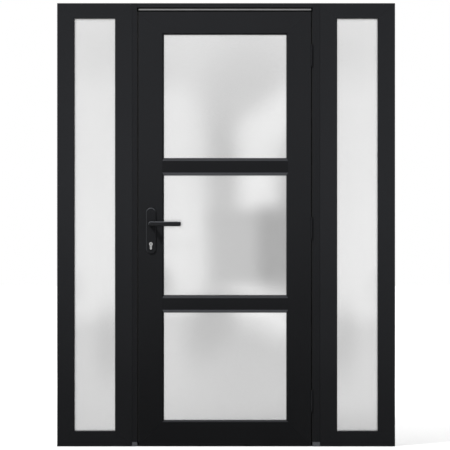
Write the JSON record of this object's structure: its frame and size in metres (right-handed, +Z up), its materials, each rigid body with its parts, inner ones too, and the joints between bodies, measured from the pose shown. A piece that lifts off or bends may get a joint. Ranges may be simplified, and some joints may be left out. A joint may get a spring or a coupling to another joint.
{
  "type": "door with sidelights",
  "caption": "Flush glazed entrance door with frosted panes, lever handles and euro cylinder, hung between two tall frosted fixed sidelights in a dark metal frame.",
  "frame": {"origin": "middle of the threshold's underside, half way through the frame's depth", "axes": "+X to the right along the pictured face, +Y from that face to the back, +Z up"},
  "size_m": [1.5492, 0.192, 2.032],
  "materials": {
    "frame": "satin powder coat",
    "leaf": "satin powder coat",
    "glass": "frosted",
    "gasket": "matt",
    "aluminium": "brushed",
    "end_block": "matt moulded",
    "steel": "brushed",
    "handle": "satin powder coat",
    "cylinder": "satin nickel",
    "hinge": "satin powder coat"
  },
  "bodies": {
    "frame": {"left_sidelight_outer_stile": "frame", "left_sidelight_inner_stile": "frame", "left_sidelight_head": "frame", "left_sidelight_sill": "frame", "left_sidelight_beads": "frame", "left_sidelight_glass": "glass", "left_sidelight_gaskets": "gasket", "right_sidelight_outer_stile": "frame", "right_sidelight_inner_stile": "frame", "right_sidelight_head": "frame", "right_sidelight_sill": "frame", "right_sidelight_beads": "frame", "right_sidelight_glass": "glass", "right_sidelight_gaskets": "gasket", "door_frame_head": "frame", "lock_jamb": "frame", "hinge_jamb": "frame", "strike_plate": "steel", "head_strip": "aluminium", "threshold": "frame", "threshold_ends": "end_block", "frame_seal": "gasket", "hinge_frame_halves": "hinge"},
    "leaf": {"lock_stile": "leaf", "hinge_stile": "leaf", "top_rail": "leaf", "upper_mid_rail": "leaf", "lower_mid_rail": "leaf", "bottom_rail": "leaf", "upper_glass": "glass", "middle_glass": "glass", "lower_glass": "glass", "upper_beads": "leaf", "middle_beads": "leaf", "lower_beads": "leaf", "door_gaskets": "gasket", "lock_faceplate": "steel", "lock_bolts": "steel", "lock_cylinder": "cylinder", "outside_plate": "handle", "inside_plate": "handle", "hinge_door_halves": "hinge"},
    "handle": {"outside_lever": "handle", "inside_lever": "handle", "spindle": "steel"}
  },
  "joints": [
    {"name": "leaf_hinge", "type": "hinge", "parent": "frame", "child": "leaf", "pos_m": [0.393, -0.049, 1], "axis": [0, 0, 1], "range_deg": [0, 105]},
    {"name": "lever_turn", "type": "hinge", "parent": "leaf", "child": "handle", "pos_m": [-0.3445, -0.012, 1.02], "axis": [0, 1, 0], "range_deg": [0, 40], "stiffness_Nm_per_rad": 1.5, "springref_deg": -28.65}
  ]
}
